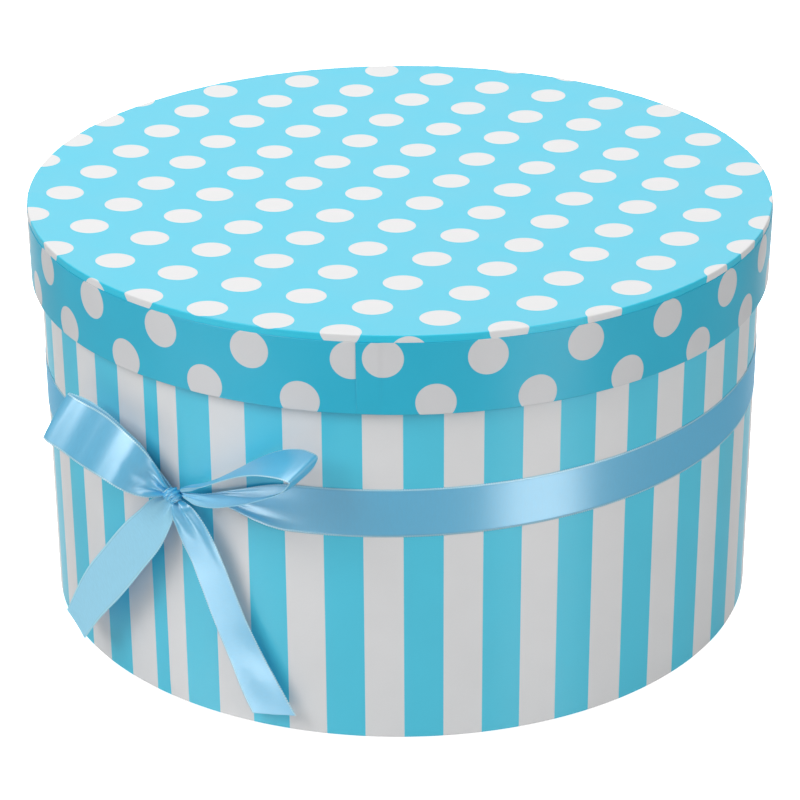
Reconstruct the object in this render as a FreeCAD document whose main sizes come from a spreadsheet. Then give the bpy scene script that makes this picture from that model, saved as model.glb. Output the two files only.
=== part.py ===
import FreeCAD, Part
import math
import os
import re
import Sketcher

# Round paper-board hat box with a lift-off lid and a ribbon tied round the body.
# Frame: +Z up, origin at the centre of the underside, bow towards -Y. Millimetres.

doc = FreeCAD.newDocument("HatBox")
sheet = doc.addObject("Spreadsheet::Sheet", "Sizes")

SIZES = [
    ("lid_radius", 190.0, "outside of the rim paper"),
    ("box_height", 216.0, "floor to the lid's upper edge"),
    ("rim_depth", 40.0, "lid's upper edge to the rim's lower edge"),
    ("lid_sag", 4.3, "how far the middle of the lid lies below its edge"),
    ("fold_radius", 0.8, "rounding of the lid's upper edge, outside the paper"),
    ("rim_paper_drop", 3.6, "lid's upper edge to the rim paper's upper edge"),
    ("body_radius", 185.0, "outside of the wall paper"),
    ("board_thick", 2.0, "greyboard"),
    ("paper_thick", 0.3, "printed paper, lining paper and their glue"),
    ("tape_thick", 0.15, "joint tape"),
    ("tape_width", 25.0, "joint tape across the butt joint"),
    ("tape_margin", 12.0, "tape end to the edge of the board"),
    ("butt_gap", 0.5, "space between the butted ends of a rolled board"),
    ("seam_lap", 10.0, "how far a wrap's end laps over its start"),
    ("seat_gap", 0.7, "wall's upper edge to the underside of the lid at its edge"),
    ("turn_in", 15.0, "how far a wrap is turned in or under"),
    ("lining_lap", 8.0, "how far a lining covers a turned-in edge"),
    ("disc_play", 0.2, "play round a disc inside a ring"),
    ("wall_seam_angle", -4.0, "wall paper's seam, degrees from the bow towards +X"),
    ("rim_seam_angle", 28.3, "rim paper's seam"),
    ("wall_joint_angle", 200.0, "butt joint of the wall board"),
    ("rim_joint_angle", 250.0, "butt joint of the rim board"),
    ("ribbon_width", 25.0, "satin ribbon"),
    ("ribbon_thick", 0.5, "satin ribbon"),
    ("band_height", 124.4, "middle of the band above the floor, mean round the box"),
    ("band_tilt", 1.0, "tilt of the band, degrees"),
    ("band_tilt_angle", 55.0, "where the tilted band crosses its mean height"),
    ("knot_height", 120.0, "middle of the knot above the floor"),
    ("knot_width", 12.0, "knot along the band"),
    ("knot_depth", 10.0, "knot outwards from the wall"),
    ("knot_tall", 12.0, "knot upwards"),
    ("loop_root", 5.0, "depth of a loop at the knot"),
    ("loop_fold", 6.0, "radius of a loop's end fold"),
    ("left_loop_reach", -63.0, "knot to the left loop's end, along the wall"),
    ("left_loop_out", 4.0, "the same, outwards"),
    ("left_loop_rise", 28.0, "the same, upwards"),
    ("left_loop_lift", 5.0, "left loop's root in front of the knot's middle"),
    ("left_loop_turn", 22.0, "left loop turned about its own length, degrees"),
    ("right_loop_reach", 77.0, "knot to the right loop's end, along the wall"),
    ("right_loop_out", -5.0, "the same, outwards"),
    ("right_loop_rise", 33.0, "the same, upwards"),
    ("right_loop_lift", 9.5, "right loop's root in front of the knot's middle"),
    ("right_loop_turn", -75.0, "right loop turned about its own length, degrees"),
    ("tail_root", 8.0, "gathered width of a tail at the knot"),
    ("tail_gather", 20.0, "length over which a tail spreads to full width"),
    ("tail_slant", 10.0, "slant of a tail's cut end"),
    ("left_tail_reach", -71.0, "knot to the left tail's end, along the wall"),
    ("left_tail_out", -3.0, "the same, outwards"),
    ("left_tail_rise", -94.0, "the same, upwards"),
    ("left_tail_lift", 2.0, "left tail's root in front of the knot's middle"),
    ("left_tail_turn", 30.0, "left tail turned about its own length, degrees"),
    ("right_tail_reach", 51.0, "knot to the right tail's end, along the wall"),
    ("right_tail_out", -2.0, "the same, outwards"),
    ("right_tail_rise", -103.0, "the same, upwards"),
    ("right_tail_lift", 0.0, "right tail's root in front of the knot's middle"),
    ("right_tail_turn", 0.0, "right tail turned about its own length, degrees"),
]
for row, (alias, size, remark) in enumerate(SIZES, start=1):
    sheet.set(f"A{row}", remark)
    sheet.set(f"B{row}", str(size))
    sheet.setAlias(f"B{row}", alias)
doc.recompute()
ALIASES = {alias for alias, size, remark in SIZES}


def bound(words):
    """Write 'body_radius - paper_thick' as an expression on the sheet's cells."""
    return re.sub(r"[a-z_]+", lambda m: f"Sizes.{m[0]}" if m[0] in ALIASES else m[0], words)


def value(words):
    """The same words worked out now, as a plain number."""
    answer = sheet.evalExpression(bound(words))
    return float(getattr(answer, "Value", answer))


def new_body(label, turn=None):
    """A PartDesign body, turned about +Z by the named angle from the bow."""
    body = doc.addObject("PartDesign::Body", label)
    body.Label = label
    if turn:
        body.setExpression("Placement.Rotation.Angle", bound(turn))
    return body


def new_sketch(body, name, role):
    """A sketch on one of the body's own origin planes."""
    sketch = body.newObject("Sketcher::SketchObject", name)
    plane = next(o for o in body.Origin.OriginFeatures if o.Role == role)
    sketch.AttachmentSupport = [(plane, "")]
    sketch.MapMode = "FlatFace"
    return sketch


def hold(sketch, edge, end, across, up):
    """Fix one end of an edge at a place worked out from the sheet."""
    for kind, axis, words in (("DistanceX", -2, across), ("DistanceY", -1, up)):
        if words == "0":
            sketch.addConstraint(Sketcher.Constraint("PointOnObject", edge, end, axis))
            continue
        index = sketch.addConstraint(Sketcher.Constraint(kind, -1, 1, edge, end, value(words)))
        sketch.setExpression(f"Constraints[{index}]", bound(words))


def outline(sketch, corners, arcs=None):
    """A closed outline through the corners; arcs names the edges that are round.

    arcs maps an edge's number to (the step from the middle of its chord to the arc, how
    far across its centre lies).
    """
    arcs = arcs or {}
    places = [FreeCAD.Vector(value(across), value(up), 0) for across, up in corners]
    first = sketch.GeometryCount
    count = len(corners)
    for number in range(count):
        start, stop = places[number], places[(number + 1) % count]
        if number in arcs:
            bulge = arcs[number][0]
            middle = (start + stop) * 0.5 + FreeCAD.Vector(*bulge, 0)
            sketch.addGeometry(Part.Arc(start, middle, stop), False)
        else:
            sketch.addGeometry(Part.LineSegment(start, stop), False)

    def end_at(number, place):
        near = sketch.getPoint(first + number, 1).distanceToPoint(place)
        return 1 if near < 1e-6 else 2

    for number, (across, up) in enumerate(corners):
        before = (number - 1) % count
        here, there = end_at(number, places[number]), end_at(before, places[number])
        sketch.addConstraint(Sketcher.Constraint("Coincident", first + before, there, first + number, here))
        hold(sketch, first + number, here, across, up)
    for number, (bulge, centre) in arcs.items():
        if centre == "0":
            sketch.addConstraint(Sketcher.Constraint("PointOnObject", first + number, 3, -2))
            continue
        across = Sketcher.Constraint("DistanceX", -1, 1, first + number, 3, value(centre))
        sketch.setExpression(f"Constraints[{sketch.addConstraint(across)}]", bound(centre))


def turned(body, name, corners, angle="360", arcs=None, cut=False):
    """A round feature: the outline (radius, height) turned about +Z by the angle."""
    sketch = new_sketch(body, f"{name}_outline", "XZ_Plane")
    outline(sketch, corners, arcs)
    feature = body.newObject("PartDesign::Groove" if cut else "PartDesign::Revolution", name)
    feature.Profile = sketch
    feature.ReferenceAxis = (sketch, ["V_Axis"])
    feature.setExpression("Angle", bound(angle))
    sketch.Visibility = False
    doc.recompute()
    return feature


def rounded(body, feature, name, radius, height, size):
    """Round the circular edge that lies at this radius and height."""
    def is_it(edge):
        if edge.Degenerated or not isinstance(edge.Curve, Part.Circle):
            return False
        circle = edge.Curve
        return abs(circle.Radius - value(radius)) < 0.01 and abs(circle.Center.z - value(height)) < 0.01

    edges = [f"Edge{n}" for n, edge in enumerate(feature.Shape.Edges, start=1) if is_it(edge)]
    fillet = body.newObject("PartDesign::Fillet", name)
    fillet.Base = (feature, edges)
    fillet.setExpression("Radius", bound(size))
    doc.recompute()
    return fillet


def degrees(length, radius):
    """Words for the angle that an arc of this length takes at this radius."""
    return f"({length}) / ({radius}) * 180 / pi"


def ring(inner, outer, low, high):
    """Corners of a plain ring's section."""
    return [(inner, low), (outer, low), (outer, high), (inner, high)]


# ---- levels and radii shared by neighbouring pieces, in words on the sheet's cells
BOARD_FOOT = "2 * paper_thick"
FLOOR_TOP = "2 * paper_thick + board_thick"
LINING_FOOT = "3 * paper_thick + board_thick"
WALL_TOP = "box_height - 2 * paper_thick - board_thick - seat_gap"
WALL_OUT = "body_radius - paper_thick"
WALL_IN = "body_radius - paper_thick - board_thick"
RIM_FOOT = "box_height - rim_depth"
RIM_OUT = "lid_radius - 2 * paper_thick"
RIM_IN = "lid_radius - 2 * paper_thick - board_thick"
RIM_INSIDE = "lid_radius - 3 * paper_thick - board_thick"


def dish(level, radius):
    """Words for a dished surface's height at a radius, when its rim lies at level."""
    return f"{level} - lid_sag * (1 - ({radius})^2 / lid_radius^2)"


# ---- the body of the box
# Base board: a die-cut greyboard disc that sits inside the foot of the wall ring.
base_board = new_body("base_board")
turned(base_board, "base_disc", [
    ("0", BOARD_FOOT), (f"{WALL_IN} - disc_play", BOARD_FOOT),
    (f"{WALL_IN} - disc_play", FLOOR_TOP), ("0", FLOOR_TOP),
])

# Wall board: a greyboard strip rolled into a ring; its two ends meet at the butt joint.
wall_board = new_body("wall_board", "wall_joint_angle")
turned(wall_board, "wall_ring", ring(WALL_IN, WALL_OUT, BOARD_FOOT, f"{WALL_TOP} - paper_thick"),
       "360 - " + degrees("butt_gap", WALL_OUT))

# Wall joint tape: gummed paper tape down the inside of the butt joint.
wall_joint_tape = new_body("wall_joint_tape", "wall_joint_angle - " + degrees("tape_width / 2", WALL_IN))
turned(wall_joint_tape, "wall_tape", ring(
    f"{WALL_IN} - tape_thick", WALL_IN, f"{BOARD_FOOT} + tape_margin", f"{WALL_TOP} - turn_in - tape_margin"),
    degrees("tape_width", WALL_IN))

# Wall wrap paper: striped paper, turned over the top edge and under the base, one end lapped.
wall_wrap = new_body("wall_wrap_paper", "wall_seam_angle")
wrap_in = f"{WALL_IN} - paper_thick"
under_edge = "body_radius - turn_in"
turned(wall_wrap, "wall_wrap", [
    ("body_radius", "paper_thick"), ("body_radius", WALL_TOP),
    (wrap_in, WALL_TOP), (wrap_in, f"{WALL_TOP} - turn_in"),
    (WALL_IN, f"{WALL_TOP} - turn_in"), (WALL_IN, f"{WALL_TOP} - paper_thick"),
    (WALL_OUT, f"{WALL_TOP} - paper_thick"), (WALL_OUT, BOARD_FOOT),
    (under_edge, BOARD_FOOT), (under_edge, "paper_thick"),
])
turned(wall_wrap, "wall_seam", ring(
    "body_radius - paper_thick / 2", "body_radius + paper_thick", "paper_thick", WALL_TOP),
    degrees("seam_lap", "body_radius"))

# Base cover paper: a plain disc that hides the turned-under edge; the box stands on it.
base_cover = new_body("base_cover_paper")
turned(base_cover, "base_cover", [
    ("0", "0"), ("body_radius - turn_in / 5", "0"), ("body_radius - turn_in / 5", "paper_thick"),
    (f"{under_edge} - disc_play", "paper_thick"), (f"{under_edge} - disc_play", BOARD_FOOT),
    ("0", BOARD_FOOT),
])

# Wall lining paper: plain paper round the inside, its upper end over the turned-in edge.
wall_lining = new_body("wall_lining_paper", "wall_joint_angle - " + degrees("tape_width / 2", WALL_IN))
turned(wall_lining, "wall_lining", [
    (WALL_IN, LINING_FOOT), (WALL_IN, f"{WALL_TOP} - turn_in"),
    (wrap_in, f"{WALL_TOP} - turn_in"), (wrap_in, f"{WALL_TOP} - turn_in + lining_lap"),
    (f"{wrap_in} - paper_thick", f"{WALL_TOP} - turn_in + lining_lap"),
    (f"{wrap_in} - paper_thick", f"{WALL_TOP} - turn_in - paper_thick"),
    (wrap_in, f"{WALL_TOP} - turn_in - paper_thick"), (wrap_in, LINING_FOOT),
])
turned(wall_lining, "wall_tape_bed", ring(
    f"{WALL_IN} - tape_thick", f"{WALL_IN} + tape_thick",
    f"{BOARD_FOOT} + tape_margin", f"{WALL_TOP} - turn_in - tape_margin"),
    degrees("tape_width", WALL_IN), cut=True)

# Base lining paper: a plain disc on the floor of the box, under the foot of the wall lining.
base_lining = new_body("base_lining_paper")
turned(base_lining, "base_lining", [
    ("0", FLOOR_TOP), (f"{WALL_IN} - disc_play", FLOOR_TOP),
    (f"{WALL_IN} - disc_play", LINING_FOOT), ("0", LINING_FOOT),
])


# ---- the lid
def dished_disc(body, name, top, thick, radius):
    """A round sheet of even thickness that sags like the lid."""
    bottom = f"{top} - {thick}"
    sunk = (0, value("-lid_sag / 4"))
    turned(body, name, [
        ("0", dish(bottom, "0")), (radius, dish(bottom, radius)),
        (radius, dish(top, radius)), ("0", dish(top, "0")),
    ], arcs={0: (sunk, "0"), 2: (sunk, "0")})


# Lid board: a greyboard disc inside the rim ring, sunk in the middle as board does with age.
lid_board = new_body("lid_board")
dished_disc(lid_board, "lid_disc", "box_height - paper_thick", "board_thick", RIM_IN)

# Rim board: a greyboard strip rolled into a ring round the disc, its upper edge eased.
rim_board = new_body("rim_board", "rim_joint_angle")
rim_top = dish("box_height - paper_thick", RIM_IN)
rim_ring = turned(rim_board, "rim_ring", ring(RIM_IN, RIM_OUT, f"{RIM_FOOT} + paper_thick", rim_top),
                  "360 - " + degrees("butt_gap", RIM_OUT))
rounded(rim_board, rim_ring, "rim_eased_edge", RIM_OUT, rim_top, "fold_radius - paper_thick")

# Rim joint tape: gummed paper tape inside the rim's butt joint, above the turned-in edge.
rim_joint_tape = new_body("rim_joint_tape", "rim_joint_angle - " + degrees("tape_width / 2", RIM_IN))
rim_tape_low = f"{RIM_FOOT} + turn_in + disc_play"
rim_tape_high = "box_height - 2 * board_thick - 3 * paper_thick"
turned(rim_joint_tape, "rim_tape", ring(f"{RIM_IN} - tape_thick", RIM_IN, rim_tape_low, rim_tape_high),
       degrees("tape_width", RIM_IN))

# Lid top paper: dotted paper over the disc, folded down over the rim's upper edge.
lid_top = new_body("lid_top_paper")
top_out = "lid_radius - paper_thick"
dished_disc(lid_top, "lid_top_sheet", "box_height", "paper_thick", top_out)
turned_down = turned(lid_top, "lid_turned_down_edge", ring(
    RIM_OUT, top_out, "box_height - turn_in", "box_height - paper_thick / 2"))
inner_fold = rounded(lid_top, turned_down, "lid_inner_fold", RIM_OUT,
                     dish("box_height - paper_thick", RIM_OUT), "fold_radius - paper_thick")
rounded(lid_top, inner_fold, "lid_outer_fold", top_out, dish("box_height", top_out), "fold_radius")

# Rim wrap paper: dotted strip over the turned-down edge, turned in under the rim's lower edge.
rim_wrap = new_body("rim_wrap_paper", "rim_seam_angle")
rim_paper_top = "box_height - rim_paper_drop"
jog = "box_height - turn_in"
turned(rim_wrap, "rim_wrap", [
    (top_out, RIM_FOOT), (top_out, f"{jog} - paper_thick"), ("lid_radius", jog),
    ("lid_radius", rim_paper_top), (top_out, rim_paper_top), (top_out, jog),
    (RIM_OUT, f"{jog} - paper_thick"), (RIM_OUT, f"{RIM_FOOT} + paper_thick"),
    (RIM_IN, f"{RIM_FOOT} + paper_thick"), (RIM_IN, f"{RIM_FOOT} + turn_in"),
    (RIM_INSIDE, f"{RIM_FOOT} + turn_in"), (RIM_INSIDE, RIM_FOOT),
])
turned(rim_wrap, "rim_seam", [
    ("lid_radius - 1.5 * paper_thick", RIM_FOOT), ("lid_radius + paper_thick", RIM_FOOT),
    ("lid_radius + paper_thick", rim_paper_top), ("lid_radius - paper_thick / 2", rim_paper_top),
    ("lid_radius - paper_thick / 2", jog), ("lid_radius - 1.5 * paper_thick", f"{jog} - paper_thick"),
], degrees("seam_lap", "lid_radius"))

# Lid lining paper: a plain disc under the lid board.
lid_lining = new_body("lid_lining_paper")
dished_disc(lid_lining, "lid_lining", "box_height - paper_thick - board_thick", "paper_thick",
            f"{RIM_INSIDE} - disc_play")

# Rim lining paper: plain strip inside the rim, its lower end over the turned-in edge.
rim_lining = new_body("rim_lining_paper", "rim_joint_angle - " + degrees("tape_width / 2", RIM_IN))
rim_lining_top = "box_height - board_thick - 3 * paper_thick"
turned(rim_lining, "rim_lining", [
    (RIM_IN, rim_lining_top), (RIM_IN, f"{RIM_FOOT} + turn_in"),
    (RIM_INSIDE, f"{RIM_FOOT} + turn_in"), (RIM_INSIDE, f"{RIM_FOOT} + turn_in - lining_lap"),
    (f"{RIM_INSIDE} - paper_thick", f"{RIM_FOOT} + turn_in - lining_lap"),
    (f"{RIM_INSIDE} - paper_thick", f"{RIM_FOOT} + turn_in + paper_thick"),
    (RIM_INSIDE, f"{RIM_FOOT} + turn_in + paper_thick"), (RIM_INSIDE, rim_lining_top),
])
turned(rim_lining, "rim_tape_bed", ring(
    f"{RIM_IN} - tape_thick", f"{RIM_IN} + tape_thick", rim_tape_low, rim_tape_high),
    degrees("tape_width", RIM_IN), cut=True)


# ---- the ribbon
def cylinder(name, radius, height):
    """A Part cylinder with both sizes bound to the sheet."""
    solid = doc.addObject("Part::Cylinder", name)
    solid.setExpression("Radius", bound(radius))
    solid.setExpression("Height", bound(height))
    return solid


def boolean(kind, name, base, tool):
    """A Part boolean of two objects."""
    result = doc.addObject(kind, name)
    result.Base = base
    result.Tool = tool
    return result


# Band: the span round the body; it hugs the wall over the seam and lies in a tilted plane.
band_in = "body_radius + paper_thick"
band_tube = boolean("Part::Cut", "band_tube",
                    cylinder("band_outside", f"{band_in} + ribbon_thick", "box_height"),
                    cylinder("band_inside", band_in, "box_height"))
slab = cylinder("band_slab", "2 * body_radius", "ribbon_width")
lean = math.radians(value("band_tilt_angle"))
tilt_axis = FreeCAD.Vector(math.sin(lean), -math.cos(lean), 0)
tilt = FreeCAD.Rotation(tilt_axis, value("band_tilt"))
slab_foot = FreeCAD.Vector(0, 0, value("band_height - ribbon_width / 2"))
slab.Placement = FreeCAD.Placement(slab_foot, tilt)
band_ring = boolean("Part::Common", "band_ring", band_tube, slab)
knot_room = doc.addObject("Part::Box", "knot_room")
knot_room.setExpression("Length", bound("knot_width + 2 * ribbon_thick"))
knot_room.setExpression("Width", bound("body_radius"))
knot_room.setExpression("Height", bound("box_height"))
knot_room.Placement.Base = FreeCAD.Vector(value("-knot_width / 2 - ribbon_thick"),
                                          value("-1.5 * body_radius"), 0)
ribbon_band = boolean("Part::Cut", "ribbon_band", band_ring, knot_room)
ribbon_band.Label = "ribbon_band"

# Knot: the ribbon drawn tight into a small round lump over the gap in the band.
bow_knot = doc.addObject("Part::Ellipsoid", "bow_knot")
bow_knot.Label = "bow_knot"
bow_knot.setExpression("Radius1", bound("knot_tall / 2"))
bow_knot.setExpression("Radius2", bound("knot_width / 2"))
bow_knot.setExpression("Radius3", bound("knot_depth / 2"))
bow_knot.Placement.Base = FreeCAD.Vector(0, value(f"-({band_in} + knot_depth / 2)"), value("knot_height"))


# Where loops and tails start, from the middle of the knot, and how long each one is.
STRIP_START = "(knot_tall / 2 + ribbon_thick)"


def strip_length(piece):
    """Words for the length of a loop or tail."""
    return f"sqrt({piece}_reach^2 + {piece}_out^2 + {piece}_rise^2) - {STRIP_START}"


def place_strip(body, piece, middle):
    """Lay a strip's own X along its length, its face (own Z) outwards, then turn it."""
    reach, out, rise = (value(f"{piece}_{word}") for word in ("reach", "out", "rise"))
    along = FreeCAD.Vector(reach, -out, rise).normalize()
    outwards = FreeCAD.Vector(0, -1, 0)
    flat = FreeCAD.Rotation(along, FreeCAD.Vector(), outwards, "XZY")
    turn = FreeCAD.Rotation(along, value(f"{piece}_turn"))
    lift = outwards * value(f"{piece}_lift")
    root = bow_knot.Placement.Base + lift + along * value(STRIP_START)
    turned_strip = turn.multiply(flat)
    body.Placement = FreeCAD.Placement(root - turned_strip.multVec(middle), turned_strip)


def loop(label, piece):
    """One loop: a ribbon-wide band round a narrow drop, folded over at its far end."""
    body = new_body(label)
    sketch = new_sketch(body, f"{piece}_outline", "XZ_Plane")
    fold_start = f"{strip_length(piece)} - loop_fold"
    for inset in ("0", "ribbon_thick"):
        fold = f"(loop_fold - {inset})"
        half_root = f"(loop_root / 2 - {inset})"
        outline(sketch, [
            (inset, f"loop_fold - {half_root}"), (fold_start, f"loop_fold - {fold}"),
            (fold_start, f"loop_fold + {fold}"), (inset, f"loop_fold + {half_root}"),
        ], arcs={1: ((value(fold), 0), fold_start)})
    pad = body.newObject("PartDesign::Pad", piece)
    pad.Profile = sketch
    pad.setExpression("Length", bound("ribbon_width"))
    pad.Midplane = True
    sketch.Visibility = False
    place_strip(body, piece, FreeCAD.Vector(0, 0, value("loop_fold")))


def tail(label, piece, long_side_up):
    """One tail: flat ribbon that spreads from the knot to full width, its end cut slanting."""
    body = new_body(label)
    sketch = new_sketch(body, f"{piece}_outline", "XY_Plane")
    length = strip_length(piece)
    short = f"{length} - tail_slant"
    low_end, high_end = (short, length) if long_side_up else (length, short)
    outline(sketch, [
        ("0", "ribbon_width / 2 - tail_root / 2"), ("tail_gather", "0"), (low_end, "0"),
        (high_end, "ribbon_width"), ("tail_gather", "ribbon_width"),
        ("0", "ribbon_width / 2 + tail_root / 2"),
    ])
    pad = body.newObject("PartDesign::Pad", piece)
    pad.Profile = sketch
    pad.setExpression("Length", bound("ribbon_thick"))
    sketch.Visibility = False
    place_strip(body, piece, FreeCAD.Vector(0, value("ribbon_width / 2"), value("ribbon_thick / 2")))


# Loops and tails: the rest of the same ribbon, springing from the knot and hanging from it.
loop("bow_loop_left", "left_loop")
loop("bow_loop_right", "right_loop")
tail("bow_tail_left", "left_tail", long_side_up=False)
tail("bow_tail_right", "right_tail", long_side_up=True)

# ---- check and write
doc.recompute()
NODES = [o for o in doc.Objects if o.isDerivedFrom("PartDesign::Body")] + [ribbon_band, bow_knot]
for item in doc.Objects:
    if "Invalid" in item.State or "Error" in item.State:
        raise RuntimeError(f"{item.Label} failed: {item.State}")
for node in NODES:
    if node.Shape.isNull() or not node.Shape.isValid() or node.Shape.Volume <= 0:
        raise RuntimeError(f"{node.Label} has no sound shape")

os.makedirs("parts", exist_ok=True)
for node in NODES:
    node.Shape.exportStep(f"parts/{node.Label}.step")
    print(f"{node.Label:20s} {len(node.Shape.Solids)} solid, {node.Shape.Volume / 1000:9.2f} cm3")
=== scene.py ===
import math

import bmesh
import bpy
import numpy as np
from mathutils import Matrix, Vector


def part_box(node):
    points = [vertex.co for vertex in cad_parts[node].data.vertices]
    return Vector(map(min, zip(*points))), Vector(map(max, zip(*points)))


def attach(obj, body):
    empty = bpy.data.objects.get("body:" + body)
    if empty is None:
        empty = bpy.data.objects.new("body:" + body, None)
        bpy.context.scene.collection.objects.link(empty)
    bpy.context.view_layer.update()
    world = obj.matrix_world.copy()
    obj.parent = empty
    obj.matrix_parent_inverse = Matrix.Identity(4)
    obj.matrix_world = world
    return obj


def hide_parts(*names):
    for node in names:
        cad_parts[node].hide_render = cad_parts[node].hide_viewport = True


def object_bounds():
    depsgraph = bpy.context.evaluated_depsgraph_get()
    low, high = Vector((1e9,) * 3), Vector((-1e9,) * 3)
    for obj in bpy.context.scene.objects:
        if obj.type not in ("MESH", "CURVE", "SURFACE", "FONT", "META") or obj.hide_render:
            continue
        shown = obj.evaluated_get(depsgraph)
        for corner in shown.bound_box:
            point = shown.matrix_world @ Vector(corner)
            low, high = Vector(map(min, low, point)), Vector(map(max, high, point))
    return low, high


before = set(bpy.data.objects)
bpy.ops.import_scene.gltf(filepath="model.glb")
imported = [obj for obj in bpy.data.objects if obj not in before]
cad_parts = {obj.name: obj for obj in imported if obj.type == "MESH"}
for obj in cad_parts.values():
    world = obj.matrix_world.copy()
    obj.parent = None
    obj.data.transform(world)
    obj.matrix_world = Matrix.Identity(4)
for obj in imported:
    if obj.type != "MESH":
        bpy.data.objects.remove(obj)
cad_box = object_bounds()

# ---- camera
# It stands to the right of the bow, nearly four box widths away, and looks down on the lid.
BOW_TO_CAMERA = 34.5
CAMERA_TILT = 25.4646
CAMERA_ROLL = -0.3104
CAMERA_PLACE = (-0.0005, -1.3287, 0.7263)
camera_data = bpy.data.cameras.new("camera")
camera_data.lens = 124.69
camera_data.sensor_width = 36
camera = bpy.data.objects.new("camera", camera_data)
bpy.context.scene.collection.objects.link(camera)
camera.matrix_world = (
    Matrix.Rotation(math.radians(BOW_TO_CAMERA), 4, "Z")
    @ Matrix.Translation(CAMERA_PLACE)
    @ Matrix.Rotation(math.radians(90 - CAMERA_TILT), 4, "X")
    @ Matrix.Rotation(math.radians(CAMERA_ROLL), 4, "Z")
)
bpy.context.scene.camera = camera

# ---- greyboard: base disc, wall ring, lid disc and rim ring
# Recycled board 2 mm thick, die-cut or rolled into rings and butted. The papers hide all
# of it, so the shapes are the drawing's own and only the finish is made here.


def new_material(name, base, roughness):
    """A material, its node tree, and its one shader with this base colour and roughness."""
    material = bpy.data.materials.new(name)
    material.use_nodes = True
    tree = material.node_tree
    shader = tree.nodes["Principled BSDF"]
    shader.inputs["Base Color"].default_value = (*base, 1)
    shader.inputs["Roughness"].default_value = roughness
    material.diffuse_color = (*base, 1)
    return material, tree, shader


def add_node(tree, kind, inputs=(), **settings):
    """One node; inputs are (socket name or number, value or another node's output)."""
    node = tree.nodes.new(kind)
    for word, choice in settings.items():
        setattr(node, word, choice)
    for socket, given in inputs:
        if isinstance(given, bpy.types.NodeSocket):
            tree.links.new(given, node.inputs[socket])
        else:
            node.inputs[socket].default_value = given
    return node


def new_group(name, inputs, outputs):
    """A shader node group with the named (name, kind) sockets."""
    tree = bpy.data.node_groups.new(name, "ShaderNodeTree")
    for side, sockets in (("INPUT", inputs), ("OUTPUT", outputs)):
        for word, kind in sockets:
            tree.interface.new_socket(name=word, in_out=side, socket_type=f"NodeSocket{kind}")
    return tree, tree.nodes.new("NodeGroupInput").outputs, tree.nodes.new("NodeGroupOutput").inputs


def paper_fibres():
    """Fine fibres and slow unevenness in height, shade and gloss, from a place in metres."""
    tree, given, wanted = new_group(
        "paper_fibres",
        [("Place", "Vector"), ("Fibre", "Float")],
        [("Height", "Float"), ("Shade", "Float"), ("Gloss", "Float")],
    )
    fine = add_node(tree, "ShaderNodeTexNoise",
                    [("Vector", given["Place"]), ("Scale", given["Fibre"]), ("Detail", 4.0)])
    slow = add_node(tree, "ShaderNodeTexNoise",
                    [("Vector", given["Place"]), ("Scale", 28.0), ("Detail", 2.0)])
    both = add_node(tree, "ShaderNodeMath",
                    [(0, slow.outputs["Fac"]), (1, 2.5), (2, fine.outputs["Fac"])],
                    operation="MULTIPLY_ADD")
    shade = add_node(tree, "ShaderNodeMapRange",
                     [("Value", both.outputs[0]), ("From Min", 1.0), ("From Max", 2.5),
                      ("To Min", 0.975), ("To Max", 1.02)])
    gloss = add_node(tree, "ShaderNodeMapRange",
                     [("Value", both.outputs[0]), ("From Min", 1.0), ("From Max", 2.5),
                      ("To Min", -0.05), ("To Max", 0.05)])
    tree.links.new(both.outputs[0], wanted["Height"])
    tree.links.new(shade.outputs[0], wanted["Shade"])
    tree.links.new(gloss.outputs[0], wanted["Gloss"])
    return tree


PAPER_FIBRES = paper_fibres()


def add_fibres(tree, shader, place, colour, roughness, fibre, depth):
    """Fibres on a paper: they shade its colour, vary its gloss and raise its surface."""
    group = add_node(tree, "ShaderNodeGroup", node_tree=PAPER_FIBRES)
    tree.links.new(place, group.inputs["Place"])
    group.inputs["Fibre"].default_value = fibre
    shaded = add_node(tree, "ShaderNodeMix", data_type="RGBA", blend_type="MULTIPLY")
    shaded.inputs["Factor"].default_value = 1
    if isinstance(colour, bpy.types.NodeSocket):
        tree.links.new(colour, shaded.inputs[6])
    else:
        shaded.inputs[6].default_value = (*colour, 1)
    tree.links.new(group.outputs["Shade"], shaded.inputs[7])
    gloss = add_node(tree, "ShaderNodeMath", [(0, group.outputs["Gloss"]), (1, roughness)],
                     operation="ADD")
    bump = add_node(tree, "ShaderNodeBump",
                    [("Height", group.outputs["Height"]), ("Strength", 1.0), ("Distance", depth)])
    tree.links.new(shaded.outputs[2], shader.inputs["Base Color"])
    tree.links.new(gloss.outputs[0], shader.inputs["Roughness"])
    tree.links.new(bump.outputs[0], shader.inputs["Normal"])


BOARD = 0.002
BOARD_GREY = (0.30, 0.27, 0.23)
FLECK_GREY = (0.13, 0.12, 0.11)
BOARD_ROUGHNESS = 0.85
greyboard, tree, shader = new_material("greyboard", BOARD_GREY, BOARD_ROUGHNESS)
place = add_node(tree, "ShaderNodeTexCoord").outputs["Object"]
flecks = add_node(tree, "ShaderNodeTexNoise",
                  [("Vector", place), ("Scale", 700.0), ("Detail", 6.0)])
fleck_colour = add_node(tree, "ShaderNodeValToRGB", [("Fac", flecks.outputs["Fac"])])
fleck_colour.color_ramp.elements[0].position = 0.32
fleck_colour.color_ramp.elements[0].color = (*FLECK_GREY, 1)
fleck_colour.color_ramp.elements[1].position = 0.46
fleck_colour.color_ramp.elements[1].color = (*BOARD_GREY, 1)
add_fibres(tree, shader, place, fleck_colour.outputs["Color"], BOARD_ROUGHNESS, 1400.0, 0.00012)
for node in ("base_board", "wall_board", "lid_board", "rim_board"):
    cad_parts[node].material_slots[0].material = greyboard

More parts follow.
